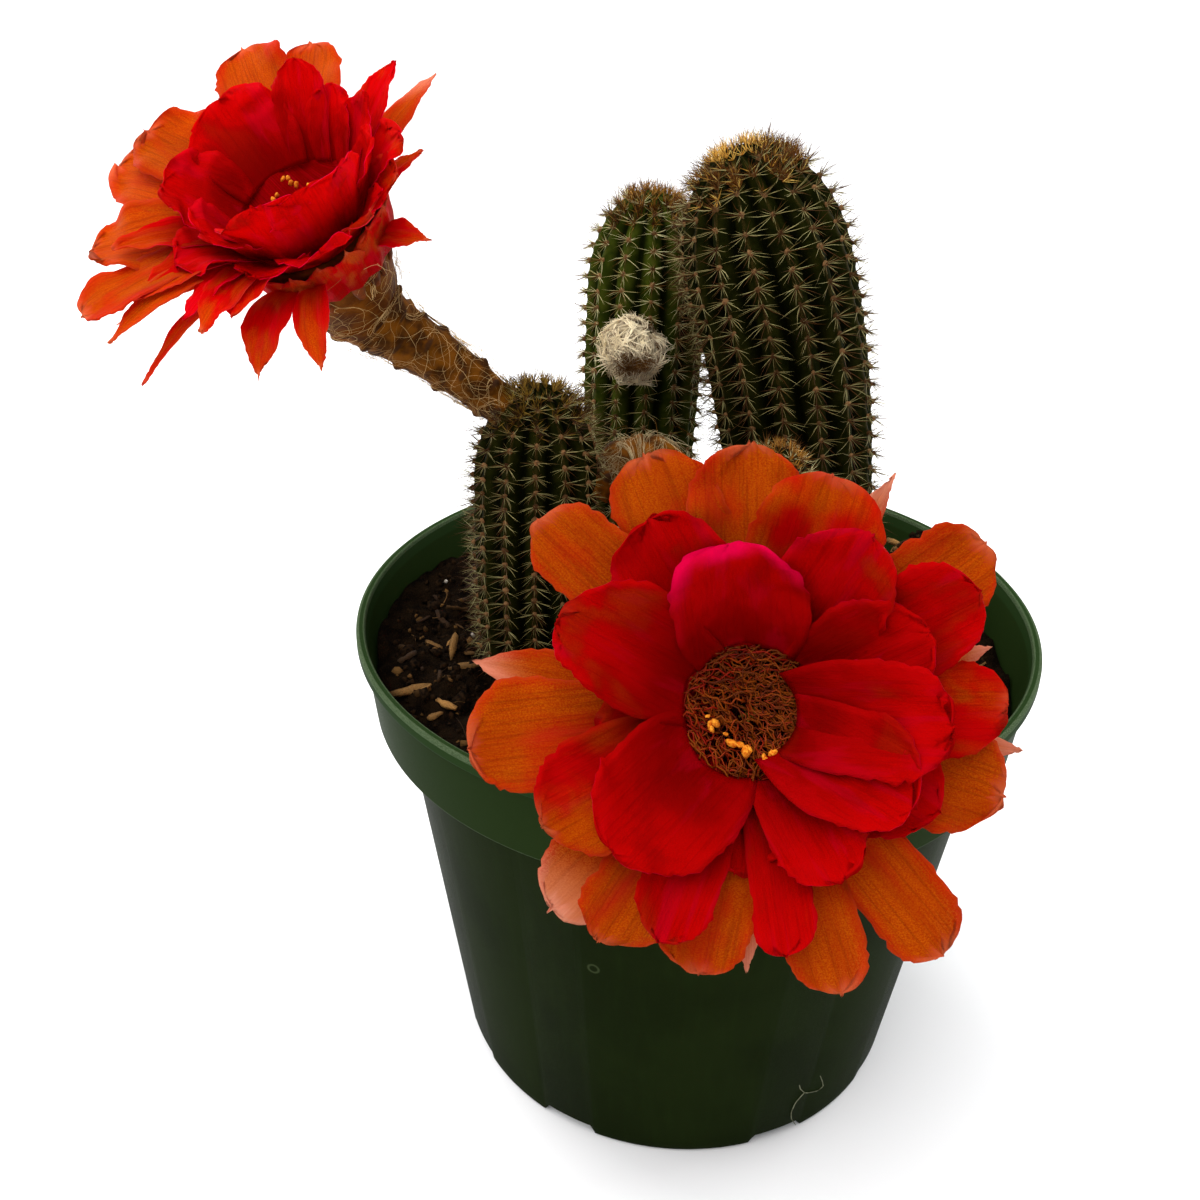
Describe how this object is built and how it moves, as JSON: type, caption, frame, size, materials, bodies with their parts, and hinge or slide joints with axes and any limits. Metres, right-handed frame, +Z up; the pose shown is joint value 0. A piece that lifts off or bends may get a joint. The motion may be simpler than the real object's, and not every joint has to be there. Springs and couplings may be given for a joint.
{
  "type": "potted peanut cactus",
  "caption": "Clump of ribbed, spiny finger-like stems in a round nursery pot of potting mix, with open layered flowers on hairy tubes and a woolly bud.",
  "frame": {"origin": "centre of the pot's underside, on the surface that the pot stands on", "axes": "+X to the viewer's right, +Y away from the viewer, +Z up along the pot's axis"},
  "size_m": [0.1286, 0.1274, 0.1619],
  "materials": {
    "pot": "satin",
    "soil": "matte",
    "stem": "matte",
    "wool": "matte",
    "tube": "matte",
    "outer_petals": "satin",
    "inner_petals": "satin",
    "stamens": "matte",
    "pistil": "matte"
  },
  "bodies": {
    "root": {"pot": "pot", "soil": "soil", "stem_left": "stem", "stem_middle": "stem", "stem_right": "stem", "offset": "stem", "bud": "wool", "flower_front_tube": "tube", "flower_front_outer_petals": "outer_petals", "flower_front_inner_petals": "inner_petals", "flower_front_stamens": "stamens", "flower_front_pistil": "pistil", "flower_left_tube": "tube", "flower_left_outer_petals": "outer_petals", "flower_left_inner_petals": "inner_petals", "flower_left_stamens": "stamens", "flower_left_pistil": "pistil"}
  },
  "joints": []
}
